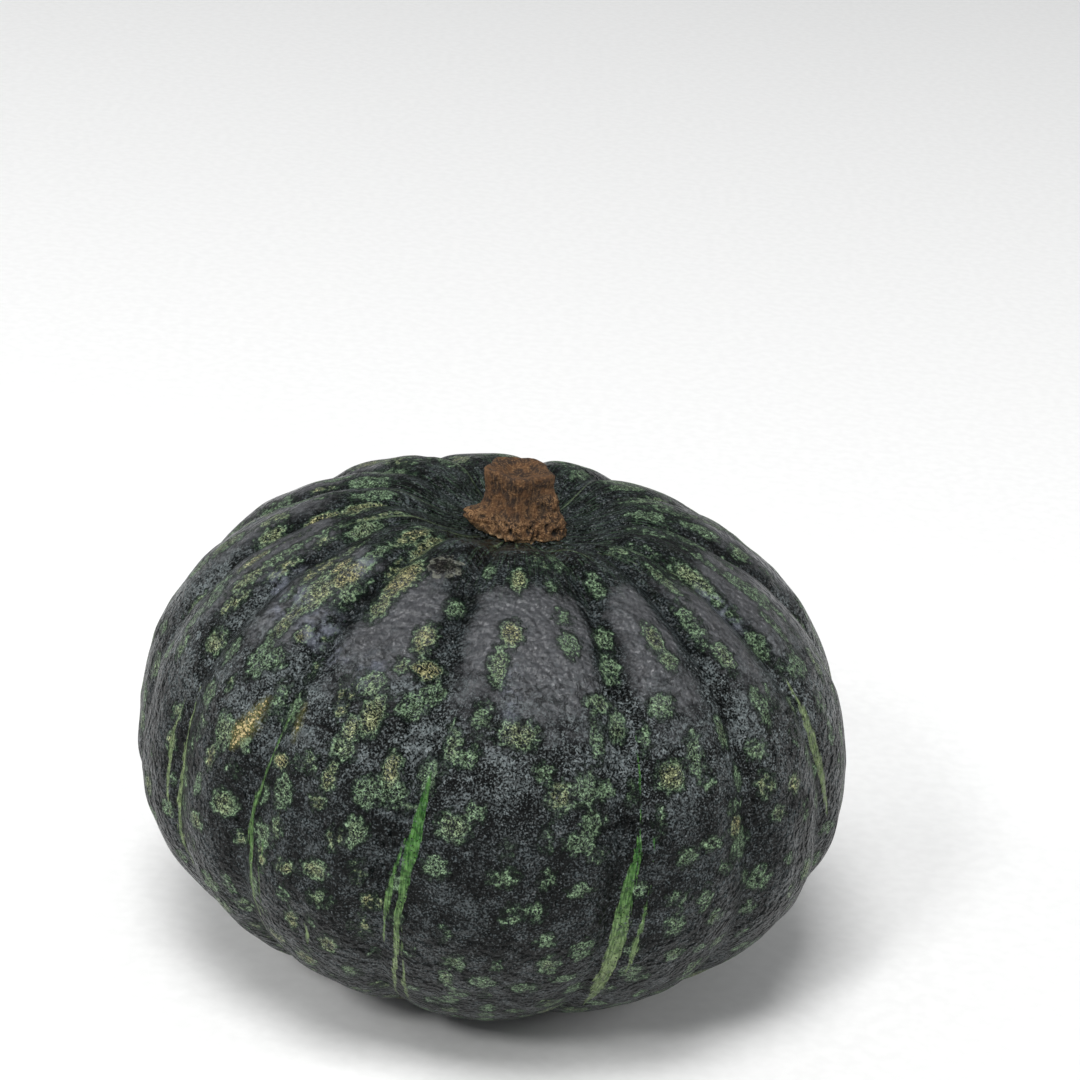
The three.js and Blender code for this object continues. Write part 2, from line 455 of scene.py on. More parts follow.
def plus(tree, first, second):
    return calc(tree, "ADD", first, second)


def minus(tree, first, second):
    return calc(tree, "SUBTRACT", first, second)


def ramp(tree, value, start, end, low=0.0, high=1.0):
    """Rises smoothly from low to high as the value goes from start to end."""
    inputs = {0: value, 1: start, 2: end, 3: low, 4: high}
    return add(tree, "ShaderNodeMapRange", inputs, interpolation_type="SMOOTHSTEP")


MIX_SHARE, MIX_UNDER, MIX_OVER, MIX_COLOUR = 0, 6, 7, 2  # colour sockets of Blender's Mix node


def tint(tree, share, under, over):
    """Colour under, covered by colour over for that share."""
    inputs = {MIX_SHARE: share, MIX_UNDER: under, MIX_OVER: over}
    return add(tree, "ShaderNodeMix", inputs, output=MIX_COLOUR, data_type="RGBA")


def grains(tree, place, size, detail=2.0, roughness=0.5, distortion=0.0):
    """Noise whose lumps are about the given size, in the unit of place."""
    inputs = {
        "Vector": place,
        "Scale": 1 / size,
        "Detail": detail,
        "Roughness": roughness,
        "Distortion": distortion,
    }
    return add(tree, "ShaderNodeTexNoise", inputs)


def srgb(code):
    """Scene colour of a six-digit hexadecimal colour."""
    parts = [int(code[i : i + 2], 16) / 255 for i in (0, 2, 4)]
    linear = [c / 12.92 if c <= 0.04045 else ((c + 0.055) / 1.055) ** 2.4 for c in parts]
    return (*linear, 1.0)


def new_group(name, inputs, outputs):
    """An empty node group with named float or vector sockets, its input node and its output node."""
    tree = bpy.data.node_groups.new(name, "ShaderNodeTree")
    for socket, kind in inputs.items():
        tree.interface.new_socket(socket, in_out="INPUT", socket_type=kind)
    for socket, kind in outputs.items():
        tree.interface.new_socket(socket, in_out="OUTPUT", socket_type=kind)
    return tree, tree.nodes.new("NodeGroupInput").outputs, tree.nodes.new("NodeGroupOutput").inputs


NUMBER = "NodeSocketFloat"
VECTOR = "NodeSocketVector"


def make_specks():
    """Irregular specks of a given grain that cover a given share of the surface."""
    inputs = {"Place": VECTOR, "Grain": NUMBER, "Cover": NUMBER}
    tree, given, result = new_group("specks", inputs, {"Specks": NUMBER})
    scale = calc(tree, "DIVIDE", 1.0, given["Grain"])
    lumps = add(
        tree,
        "ShaderNodeTexNoise",
        {"Vector": given["Place"], "Scale": scale, "Detail": 2.0, "Roughness": 0.6, "Distortion": 0.4},
    )
    edge = ramp(tree, given["Cover"], 0.0, 1.0, low=0.68, high=0.36)
    above = minus(tree, lumps, edge)
    tree.links.new(ramp(tree, above, 0.0, 0.05), result["Specks"])
    return tree


TAPER = 0.65  # below 1 a blade keeps its width nearly to its points


def make_streak_blade():
    """A blade lying along a lobe. Inside is in millimetres from its edge, negative outside it."""
    inputs = {
        "Azimuth": NUMBER,
        "Along": NUMBER,
        "Girth": NUMBER,
        "Start azimuth": NUMBER,
        "Start along": NUMBER,
        "End azimuth": NUMBER,
        "End along": NUMBER,
        "Bow": NUMBER,
        "Half width": NUMBER,
        "Belly": NUMBER,
    }
    tree, given, result = new_group("streak blade", inputs, {"Inside": NUMBER})
    length = minus(tree, given["End along"], given["Start along"])
    share = calc(tree, "DIVIDE", minus(tree, given["Along"], given["Start along"]), length)
    sweep = minus(tree, given["End azimuth"], given["Start azimuth"])
    straight = plus(tree, given["Start azimuth"], times(tree, sweep, share))
    rest = minus(tree, 1.0, share)
    arch = times(tree, times(tree, share, rest), 4.0)
    centre = plus(tree, straight, times(tree, arch, given["Bow"]))
    aside = calc(tree, "RADIANS", minus(tree, given["Azimuth"], centre))
    distance = calc(tree, "ABSOLUTE", times(tree, aside, given["Girth"]))
    opening = calc(tree, "DIVIDE", share, given["Belly"])
    closing = calc(tree, "DIVIDE", rest, minus(tree, 1.0, given["Belly"]))
    taper = calc(tree, "POWER", calc(tree, "MAXIMUM", calc(tree, "MINIMUM", opening, closing), 0.0), TAPER)
    width = times(tree, calc(tree, "MINIMUM", taper, 1.0), given["Half width"])
    past_ends = calc(tree, "LESS_THAN", calc(tree, "MINIMUM", share, rest), 0.0)
    inside = minus(tree, minus(tree, width, distance), past_ends)
    tree.links.new(inside, result["Inside"])
    return tree


# Streaks in the grooves, several blades to most of them: azimuth and millimetres along where a blade
# starts, the same where it ends, its bow in degrees, half width in millimetres, and where it is widest.
STREAKS = [
    (-9.6, 95, -12.2, 139, -0.2, 1.75, 0.42),
    (-11.8, 122, -17, 180, 1.6, 0.85, 0.25),
    (-12.2, 112, -14.2, 141, -0.5, 0.8, 0.55),
    (-11.2, 133, -13.2, 178, 0.8, 0.54, 0.6),
    (24.6, 85, 23.8, 121, 0, 0.34, 0.8),
    (23.9, 107, 23.2, 168, -1.2, 2.0, 0.42),
    (26.1, 120, 25.4, 147, -0.4, 0.75, 0.7),
    (21.8, 139, 22.2, 160, -0.6, 0.41, 0.5),
    (26, 105, 26, 114, 0, 0.27, 0.5),
    (-36, 88, -39.2, 126, 0, 0.75, 0.85),
    (-39.2, 112, -40, 156, 1.8, 0.9, 0.25),
    (-35, 122, -37, 146, 0.4, 0.34, 0.4),
    (-61.8, 103, -60, 134, -0.6, 0.82, 0.45),
    (-59.4, 98, -58.6, 152, 0.8, 0.88, 0.45),
    (66, 83, 71.5, 124, -1.2, 1.5, 0.5),
    (93.5, 78, 91, 140, -1.2, 0.68, 0.6),
    (96, 118, 94, 178, 0.8, 1.09, 0.4),
    (119.5, 92, 121.5, 160, 0.8, 1.36, 0.45),
    (146, 70, 148.5, 128, -0.8, 0.61, 0.6),
    (149.5, 112, 147, 172, 1, 1.22, 0.35),
    (152, 124, 150.5, 150, 0, 0.61, 0.6),
    (176, 96, 178, 158, 0.8, 0.82, 0.5),
    (-157, 80, -155, 166, -1, 1.5, 0.55),
    (-152.5, 116, -153.5, 150, 0.4, 0.68, 0.4),
    (-129.5, 100, -130.5, 170, 1, 0.95, 0.4),
    (-103, 74, -101, 150, -1, 1.16, 0.6),
    (-99, 122, -100.5, 168, 0.5, 0.61, 0.4),
    (-80, 96, -78, 158, 1, 0.88, 0.5),
    (-27.5, 141, -28, 149, 0.3, 0.6, 0.5),
]
# Pale threads near the stem, in the same terms.
THREADS = [
    (-14.5, 10, -14, 24, 0, 0.42, 0.6),
    (1.5, 10, 2, 25, 0, 0.36, 0.6),
    (12, 10, 18, 29, 0, 0.26, 0.5),
    (22, 10, 34, 42, 1, 0.28, 0.4),
    (36, 12, 52, 48, 0, 0.26, 0.4),
    (48, 13, 66, 56, 0, 0.26, 0.4),
    (-66, 14, -69.5, 51, 2, 0.40, 0.5),
    (-40, 12, -44, 34, 0, 0.30, 0.4),
    (-96, 12, -92, 44, 0, 0.34, 0.4),
    (88, 12, 92, 40, 0, 0.30, 0.5),
    (140, 12, 146, 42, 0, 0.34, 0.4),
    (-150, 12, -153, 48, 0, 0.34, 0.4),
]
# Sunburnt blades, in the same terms.
TAN_BLADES = [
    (-41.6, 90, -45.0, 106, 0.0, 3.0, 0.60),
    (-34.2, 88, -33.6, 98, 0.0, 1.2, 0.40),
    (132.0, 84, 134.0, 98, 0.0, 2.4, 0.50),
]
RING_AZIMUTH, RING_ALONG = -22.0, 43.0
CRACK_AZIMUTH, CRACK_HALF_SWEEP, CRACK_ALONG = -30.0, 3.8, 92.0


def longest_reach(tree, blades, azimuth, along, girth):
    """How far inside the nearest of several blades a point is, in millimetres."""
    reach = None
    for blade in blades:
        given = {"Azimuth": azimuth, "Along": along, "Girth": girth}
        names = ["Start azimuth", "Start along", "End azimuth", "End along", "Bow", "Half width", "Belly"]
        given.update(zip(names, (float(value) for value in blade)))
        node = tree.nodes.new("ShaderNodeGroup")
        node.node_tree = streak_blade
        for name, value in given.items():
            if isinstance(value, float):
                node.inputs[name].default_value = value
            else:
                tree.links.new(value, node.inputs[name])
        inside = node.outputs["Inside"]
        reach = inside if reach is None else calc(tree, "MAXIMUM", reach, inside)
    return reach


def speck(tree, place, grain, cover):
    """Specks of a grain in millimetres; cover, from 0 to 1, may change over the surface."""
    node = tree.nodes.new("ShaderNodeGroup")
    node.node_tree = specks
    node.inputs["Grain"].default_value = grain
    tree.links.new(place, node.inputs["Place"])
    if isinstance(cover, bpy.types.NodeSocket):
        tree.links.new(cover, node.inputs["Cover"])
    else:
        node.inputs["Cover"].default_value = cover
    return node.outputs["Specks"]


specks = make_specks()
streak_blade = make_streak_blade()


def new_material(name):
    """A material with only a Principled shader, its tree and that shader."""
    material = bpy.data.materials.new(name)
    material.use_nodes = True
    return material, material.node_tree, material.node_tree.nodes["Principled BSDF"]


# Where the kinds of rind lie: each pair is the millimetres along between which one starts or ends.
SHOULDER_TOP, SHOULDER_FOOT = (40.0, 52.0), (104.0, 66.0)
LEATHER_TOP, LEATHER_FOOT = (62.0, 78.0), (112.0, 92.0)
PITS_TOP, PITS_FOOT = (60.0, 78.0), (128.0, 98.0)
THREADS_START, THREADS_END = (8.0, 14.0), (58.0, 22.0)
OLD_ALONG, OLD_AZIMUTH = (110.0, 150.0), (24.0, 60.0)  # a streak is olive past these
# Sizes of the grain, in millimetres.
CLOUD, PEBBLE_GRAIN, TUFT, SCUFF = 7.0, 0.46, 2.1, 0.9
WANDER, WORM, PIT_GRAIN, NETWORK, SMEAR, PEEL, PIMPLE = 1.9, 1.0, 2.0, 2.3, 3.2, 2.4, 1.2
# Heights and depths of the relief, in millimetres.
PEEL_HEIGHT, PIMPLE_HEIGHT, GRIT_HEIGHT, LINE_HEIGHT = 2.5, 0.65, 0.06, 0.12
PIT_DEPTH, RIM_DEPTH = 0.80, 0.22
# Colours of the rind.
# The gap colours are the dark rind with painted shade; the pebble colours are its pale specks with painted
# glints.
GAP_BLACK_WITH_SHADE = srgb("040606")
GAP_GREY_WITH_SHADE = srgb("0b1011")
PEBBLE_SPECK_WITH_GLINT = srgb("4c5456")
LEATHERY_PEBBLE_WITH_GLINT = srgb("767f80")
# Grey of the smooth waxed rind, lightened with a painted sheen.
WAXED_SKIN_WITH_SHEEN = srgb("525356")
MOTTLE_GREEN = srgb("3d5a44")
MOTTLE_PALE_GREEN = srgb("98b68f")
MOTTLE_OLIVE = srgb("7c834f")
MOTTLE_GOLD = srgb("c9c48f")
MOTTLE_GROUND = srgb("142119")
MOTTLE_RIM = srgb("06090a")
# Painted shade in the pits.
PIT_SHADE = srgb("050707")
# Painted shade in the fine creases.
CREASE_SHADE = srgb("030404")
BLOOM_BLUE = srgb("868b98")
FAINT_THREAD = srgb("4f6650")
PALE_THREAD = srgb("6f7f5f")
FRESH_STREAK_DARK = srgb("264f21")
FRESH_STREAK = srgb("517d3f")
OLD_STREAK_DARK = srgb("4f623e")
OLD_STREAK = srgb("83936a")
SUNBURN_GROUND = srgb("5f6038")
SUNBURN_SPECK = srgb("c0ae80")
RING_CORK = srgb("76776b")
RING_INSIDE_DARK = srgb("14110e")
RING_INSIDE = srgb("5d574b")
CRACK = srgb("020303")
SCAR_DARK = srgb("6b5a41")
SCAR_PALE = srgb("a08c68")


def make_rind_material():
    """The skin of the fruit, each layer of colour laid over the ones before."""
    material, tree, surface = new_material("kabocha rind")

    place = add(tree, "ShaderNodeTexCoord", output="Object")
    place = add(tree, "ShaderNodeVectorMath", {0: place, 1: (1 / MM,) * 3}, operation="MULTIPLY")
    flat = add(tree, "ShaderNodeVectorMath", {0: place, 1: (1, 1, 0)}, operation="MULTIPLY")
    girth = add(tree, "ShaderNodeVectorMath", {0: flat}, output="Value", operation="LENGTH")
    lobes = add(tree, "ShaderNodeUVMap", uv_map="lobes")
    round_share = add(tree, "ShaderNodeSeparateXYZ", {0: lobes}, output="X")
    up_share = add(tree, "ShaderNodeSeparateXYZ", {0: lobes}, output="Y")
    azimuth = times(tree, minus(tree, round_share, 0.5), 360.0)
    along = times(tree, minus(tree, 1.0, up_share), ALONG_TOTAL / MM)
    angle = calc(tree, "RADIANS", azimuth)
    side = times(tree, calc(tree, "SINE", angle), EQUATOR_RADIUS / MM)
    front = times(tree, calc(tree, "COSINE", angle), EQUATOR_RADIUS / MM)
    grown = add(tree, "ShaderNodeCombineXYZ", {"X": side, "Y": front, "Z": along})
    drawn_out = add(tree, "ShaderNodeVectorMath", {0: grown, 1: (1, 1, 0.14)}, operation="MULTIPLY")
    groove = add(tree, "ShaderNodeAttribute", output="Fac", attribute_name="groove")
    mottle = add(tree, "ShaderNodeAttribute", output="Fac", attribute_name="mottle")
    yellow = add(tree, "ShaderNodeAttribute", output="Fac", attribute_name="yellow")
    bloom = add(tree, "ShaderNodeAttribute", output="Fac", attribute_name="bloom")

    # Dark ground, covered with tiny pebbles: grey on top, lighter where it is leathery, nearly black between.
    # The grey of the tops is the rind's pale specks and painted glints; the black between is dark rind and
    # painted shade.
    clouds = grains(tree, place, CLOUD, detail=3.0)
    pebbles = grains(tree, place, PEBBLE_GRAIN, detail=2.0, roughness=0.6)
    tufts = grains(tree, place, TUFT, detail=2.0)
    thick = ramp(tree, clouds, 0.36, 0.64, low=0.58, high=0.47)
    thick = minus(tree, thick, times(tree, minus(tree, tufts, 0.5), 0.22))
    leather = times(tree, ramp(tree, along, *LEATHER_TOP), ramp(tree, along, *LEATHER_FOOT))
    thick = minus(tree, thick, times(tree, leather, 0.05))
    tops = ramp(tree, minus(tree, pebbles, thick), -0.05, 0.14)
    under = tint(tree, ramp(tree, clouds, 0.38, 0.62), GAP_BLACK_WITH_SHADE, GAP_GREY_WITH_SHADE)
    tops_with_glint_colour = tint(tree, leather, PEBBLE_SPECK_WITH_GLINT, LEATHERY_PEBBLE_WITH_GLINT)
    colour = tint(tree, times(tree, tops, 0.84), under, tops_with_glint_colour)

    # Smooth, waxed rind on the shoulders of the lobes, where few pebbles stand; its lighter grey is a painted
    # sheen of the light from above.
    shoulder = times(tree, ramp(tree, along, *SHOULDER_TOP), ramp(tree, along, *SHOULDER_FOOT))
    shoulder = times(tree, shoulder, minus(tree, 1.0, groove))
    shoulder_edge = minus(tree, grains(tree, place, 6.0, detail=6.0, roughness=0.72), 0.5)
    skin = ramp(tree, plus(tree, shoulder, times(tree, shoulder_edge, 2.0)), 0.25, 1.05)
    scuff_noise = grains(tree, place, SCUFF, detail=3.0, roughness=0.65)
    scuffs = ramp(tree, scuff_noise, 0.30, 0.55, low=0.50, high=0.88)
    colour = tint(tree, times(tree, skin, scuffs), colour, WAXED_SKIN_WITH_SHEEN)

    # Mottles: rosettes with a dark sunken rim and wavy pale lines inside, green, and gold in the middle of
    # the yellower ones.
    wander = minus(tree, grains(tree, place, WANDER, detail=3.0, roughness=0.62), 0.5)
    inner = ramp(tree, mottle, 0.0, 0.2)
    heart = plus(tree, mottle, times(tree, times(tree, wander, inner), 2.3))
    cluster = ramp(tree, heart, 0.14, 0.34)
    rim = times(tree, ramp(tree, heart, 0.12, 0.24), ramp(tree, heart, 0.42, 0.28))
    contour = calc(tree, "SINE", times(tree, heart, 11.0))
    worms = calc(tree, "ABSOLUTE", minus(tree, grains(tree, place, WORM, detail=1.0, distortion=1.2), 0.5))
    lines = calc(tree, "MAXIMUM", ramp(tree, contour, 0.30, 0.95), ramp(tree, worms, 0.070, 0.025))
    lines = times(tree, lines, ramp(tree, pebbles, 0.36, 0.58, low=0.15, high=1.0))
    lines = times(tree, lines, ramp(tree, heart, 0.25, 0.95, low=0.22, high=1.0))
    green = tint(tree, ramp(tree, heart, 0.2, 0.9), MOTTLE_GREEN, MOTTLE_PALE_GREEN)
    gold = tint(tree, ramp(tree, heart, 0.3, 0.9), MOTTLE_OLIVE, MOTTLE_GOLD)
    ripe = times(tree, ramp(tree, yellow, 0.30, 1.0), ramp(tree, heart, 0.40, 0.95))
    depth = minus(tree, 0.70, times(tree, skin, 0.30))
    colour = tint(tree, times(tree, cluster, depth), colour, MOTTLE_GROUND)
    rim_share = minus(tree, 0.75, times(tree, skin, 0.55))
    colour = tint(tree, times(tree, rim, rim_share), colour, MOTTLE_RIM)
    colour = tint(tree, times(tree, cluster, lines), colour, tint(tree, ripe, green, gold))
    wax = times(tree, skin, minus(tree, 1.0, ramp(tree, heart, 0.15, 0.60)))
    rough = minus(tree, 1.0, times(tree, wax, 0.45))

    # Pits and dents, most of them in a leathery band below the shoulders; the pits are darkened with painted
    # shade.
    pit_band = times(tree, ramp(tree, along, *PITS_TOP), ramp(tree, along, *PITS_FOOT, low=0.35))
    pit_noise = grains(tree, place, PIT_GRAIN, detail=2.0, roughness=0.6, distortion=0.6)
    pit_spots = ramp(tree, pit_noise, 0.46, 0.35)
    pits = times(tree, pit_spots, ramp(tree, pit_band, 0.0, 1.0, low=0.12, high=0.9))
    pits = times(tree, pits, ramp(tree, grains(tree, place, 9.0), 0.36, 0.56, low=0.25))
    colour = tint(tree, times(tree, pits, 0.7), colour, PIT_SHADE)

    # A network of fine creases, like leather, darkened with painted shade.
    network = grains(tree, place, NETWORK, detail=3.0, roughness=0.6)
    network = calc(tree, "ABSOLUTE", minus(tree, network, 0.5))
    creases = times(tree, ramp(tree, network, 0.09, 0.0), rough)
    colour = tint(tree, times(tree, creases, 0.45), colour, CREASE_SHADE)

    # Bluish bloom.
    smears = ramp(tree, grains(tree, place, SMEAR, detail=4.0, roughness=0.62), 0.42, 0.62)
    bloom_share = times(tree, times(tree, smears, bloom), 0.50)
    colour = tint(tree, bloom_share, colour, BLOOM_BLUE)

    # Pale threads that run out from the stem: countless faint ones, and a few plain ones.
    thread_zone = times(tree, ramp(tree, along, *THREADS_END), ramp(tree, along, *THREADS_START))
    threads = ramp(tree, grains(tree, drawn_out, 0.8, detail=2.0), 0.55, 0.66)
    thread_share = times(tree, times(tree, threads, thread_zone), 0.55)
    colour = tint(tree, thread_share, colour, FAINT_THREAD)
    thread_reach = longest_reach(tree, THREADS, azimuth, along, girth)
    waver = minus(tree, grains(tree, drawn_out, 0.6, detail=2.0), 0.5)
    plain_threads = ramp(tree, plus(tree, thread_reach, waver), 0.0, 0.25)
    colour = tint(tree, times(tree, plain_threads, 0.55), colour, PALE_THREAD)

    # Light green streaks, olive towards the blossom end.
    fray = times(tree, minus(tree, grains(tree, drawn_out, 0.5, detail=3.0), 0.5), 2.2)
    reach = longest_reach(tree, STREAKS, azimuth, along, girth)
    streak = ramp(tree, plus(tree, reach, fray), 0.0, 0.22)
    fresh = tint(tree, ramp(tree, grains(tree, drawn_out, 0.4), 0.35, 0.65), FRESH_STREAK_DARK, FRESH_STREAK)
    old = tint(tree, ramp(tree, grains(tree, drawn_out, 0.4), 0.35, 0.65), OLD_STREAK_DARK, OLD_STREAK)
    off_front = calc(tree, "ABSOLUTE", azimuth)
    age = calc(tree, "MAXIMUM", ramp(tree, along, *OLD_ALONG), ramp(tree, off_front, *OLD_AZIMUTH))
    streak_colour = tint(tree, age, fresh, old)
    nicks = ramp(tree, grains(tree, place, 0.5, detail=1.0), 0.30, 0.40)
    streak = times(tree, streak, nicks)
    colour = tint(tree, times(tree, streak, 0.95), colour, streak_colour)

    # Sunburnt spots.
    tan_reach = longest_reach(tree, TAN_BLADES, azimuth, along, girth)
    tan_cover = ramp(tree, plus(tree, tan_reach, fray), -1.2, 2.0)
    tan_specks = speck(tree, place, 0.6, times(tree, tan_cover, 0.54))
    tan_share = times(tree, tan_specks, ramp(tree, tan_cover, 0.0, 0.2))
    colour = tint(tree, times(tree, tan_cover, 0.8), colour, SUNBURN_GROUND)
    colour = tint(tree, tan_share, colour, SUNBURN_SPECK)

    # A healed ring-shaped scar near the crown, and a short crack across a groove.
    ring_aside = times(tree, calc(tree, "RADIANS", minus(tree, azimuth, RING_AZIMUTH)), girth)
    ring_along = minus(tree, along, RING_ALONG)
    ring_place = add(tree, "ShaderNodeCombineXYZ", {"X": ring_aside, "Y": ring_along})
    from_ring = add(tree, "ShaderNodeVectorMath", {0: ring_place}, output="Value", operation="LENGTH")
    from_ring = plus(tree, from_ring, times(tree, wander, 6.0))
    ring = times(tree, ramp(tree, from_ring, 2.7, 3.3), ramp(tree, from_ring, 4.0, 3.5))
    ring = times(tree, ring, ramp(tree, tufts, 0.34, 0.54, low=0.1, high=0.7))
    colour = tint(tree, ring, colour, RING_CORK)
    inside_ring = times(tree, ramp(tree, from_ring, 3.2, 2.2), 0.6)
    colour = tint(tree, inside_ring, colour, tint(tree, tops, RING_INSIDE_DARK, RING_INSIDE))
    crack_aside = times(tree, minus(tree, azimuth, CRACK_AZIMUTH), 1 / CRACK_HALF_SWEEP)
    crack_ends = ramp(tree, calc(tree, "ABSOLUTE", crack_aside), 1.0, 0.7)
    crack_centre = plus(tree, minus(tree, along, CRACK_ALONG), times(tree, wander, 2.5))
    crack = times(tree, ramp(tree, calc(tree, "ABSOLUTE", crack_centre), 0.55, 0.2), crack_ends)
    colour = tint(tree, times(tree, crack, 0.9), colour, CRACK)

    # Corky scar at the blossom end.
    from_base = minus(tree, ALONG_TOTAL / MM, along)
    scar_edge = plus(tree, from_base, times(tree, grains(tree, place, 1.6), 4.0))
    scar = ramp(tree, scar_edge, 8.4, 7.4)
    scar_colour = tint(tree, ramp(tree, grains(tree, place, 0.8), 0.4, 0.6), SCAR_DARK, SCAR_PALE)
    colour = tint(tree, scar, colour, scar_colour)
    tree.links.new(colour, surface.inputs["Base Color"])

    # The bare rind hardly shines; mottles, bloom and cork are dull. The gloss is that of the thin wax coat,
    # which lies on the waxed skin, the tops of the pebbles and the pale lines of the mottles.
    surface.inputs["Specular IOR Level"].default_value = 0.06
    dull = calc(tree, "MAXIMUM", cluster, calc(tree, "MAXIMUM", bloom, scar))
    patchy = ramp(tree, grains(tree, place, 16.0), 0.4, 0.6, low=0.30, high=0.36)
    waxed = minus(tree, patchy, times(tree, wax, 0.02))
    tree.links.new(plus(tree, waxed, times(tree, dull, 0.12)), surface.inputs["Roughness"])

    surface.inputs["Coat Roughness"].default_value = 0.30
    shine = times(tree, ramp(tree, tops, 0.0, 1.0, low=0.2), times(tree, rough, 0.55))
    shine = calc(tree, "MAXIMUM", shine, times(tree, times(tree, cluster, lines), 0.30))
    shine = calc(tree, "MAXIMUM", shine, times(tree, wax, 0.70))
    tree.links.new(shine, surface.inputs["Coat Weight"])

    # Fine relief in millimetres: orange peel, pits, the pebbles, and the sunken rims of the mottles.
    peel = times(tree, grains(tree, place, PEEL, detail=1.0, roughness=0.5), PEEL_HEIGHT)
    pimples = times(tree, grains(tree, place, PIMPLE, detail=0.0), times(tree, rough, PIMPLE_HEIGHT))
    grit = times(tree, pebbles, times(tree, rough, GRIT_HEIGHT))
    grit = plus(tree, grit, pimples)
    peel = times(tree, peel, minus(tree, 1.0, times(tree, wax, 0.25)))
    peel = times(tree, peel, plus(tree, 1.0, times(tree, leather, 0.5)))
    sunk = times(tree, plus(tree, rim, times(tree, creases, 0.5)), -RIM_DEPTH)
    raised = times(tree, times(tree, cluster, lines), LINE_HEIGHT)
    pitted = minus(tree, peel, times(tree, pits, PIT_DEPTH))
    height = plus(tree, pitted, plus(tree, grit, plus(tree, sunk, raised)))
    inputs = {"Height": height, "Strength": 1.0, "Distance": MM}
    bump = add(tree, "ShaderNodeBump", inputs)
    tree.links.new(bump, surface.inputs["Normal"])
    tree.links.new(bump, surface.inputs["Coat Normal"])
    return material


rind.data.materials.append(make_rind_material())


# ---- Stem ----------------------------------------------------------------------------------------------
# The stump of the stem is dry cork: a squat column with five worn ridges, on a foot that spreads over the
# rind in a crumbling rim with one curled ear. Its cut end has a hard ring round a sunken pith.

STEM_OUTLINE = [
    (0.0092, 0.0),
    (0.0100, 0.0014),
    (0.0097, 0.0032),
    (0.0088, 0.0050),
    (0.0080, 0.0075),
    (0.0078, 0.0105),
    (0.0082, 0.0133),
    (0.0081, 0.0147),
    (0.0070, 0.0151),
    (0.0047, 0.0144),
    (0.0031, 0.0133),
    (0.0018, 0.0128),
]
STEM_RIDGES = 5
STEM_RIDGE_RISE = 0.09
STEM_LEAN = math.radians(-3)
STEM_COLUMNS = 220
STEM_ROWS_BETWEEN = 9
RIM_TOP = 0.0052  # the crumbling rim reaches this high
FULL_RELIEF_RADIUS = 0.0075  # the relief fades out towards the axis inside this
SCALLOP_RISE, SCALLOPS = 0.0007, 5.5
CRUMB_RISE, CRUMB_SIZE, FINE_CRUMB_SIZE = 0.00062, 0.0016, 0.0008
CRUMB_SHARPNESS = 2.2
FIBRE_RISE, FIBRES, FIBRE_LENGTH = 0.00016, 11, 0.012
TORN_AZIMUTH, TORN_HALF_WIDTH, TORN_RISE = 68, 34, 0.0016  # one wall is torn as rough as the rim
TORN_TOP, TORN_EASE = 0.0125, 0.004
EAR_AZIMUTH, EAR_HALF_WIDTH = -72, 17
EAR_REACH, EAR_HEIGHT, EAR_HALF_HEIGHT, EAR_LIFT = 0.0034, 0.0026, 0.0018, 0.0012
CUT_RISE, CUT_SIZE, CUT_START = 0.0005, 0.0032, 0.011
PITH_FLOOR = 0.0127


def curve_through(outline, between):
    """Points on a smooth curve through the outline."""
    ends = [outline[0]] + outline + [outline[-1]]
    curve = []
    for before, start, end, after in zip(ends, ends[1:], ends[2:], ends[3:]):
        for step in range(between):
            t = step / between
            weights = (
                -0.5 * t**3 + t**2 - 0.5 * t,
                1.5 * t**3 - 2.5 * t**2 + 1,
                -1.5 * t**3 + 2 * t**2 + 0.5 * t,
                0.5 * t**3 - 0.5 * t**2,
            )
            parts = [Vector(p) * w for p, w in zip((before, start, end, after), weights)]
            curve.append(sum(parts, Vector((0, 0))))
    return curve + [Vector(outline[-1])]


stem_low, stem_high = (Vector(corner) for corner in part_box("stem"))
stem_foot = Vector(((stem_low.x + stem_high.x) / 2, (stem_low.y + stem_high.y) / 2, stem_low.z))

stem_bm = bmesh.new()
profile = [Vector((0, 0))] + curve_through(STEM_OUTLINE, STEM_ROWS_BETWEEN) + [Vector((0, PITH_FLOOR))]
chain = [stem_bm.verts.new((radius, 0, height)) for radius, height in profile]
edges = [stem_bm.edges.new(pair) for pair in zip(chain, chain[1:])]
bmesh.ops.spin(
    stem_bm,
    geom=chain + edges,
    cent=(0, 0, 0),
    axis=(0, 0, 1),
    angle=math.tau,
    steps=STEM_COLUMNS,
    use_merge=True,
)
bmesh.ops.remove_doubles(stem_bm, verts=stem_bm.verts, dist=1e-6)
crevice_shade_layer = stem_bm.verts.layers.float.new("crevice_shade")
flaky_layer = stem_bm.verts.layers.float.new("flaky")
edge_highlight_layer = stem_bm.verts.layers.float.new("edge highlight")

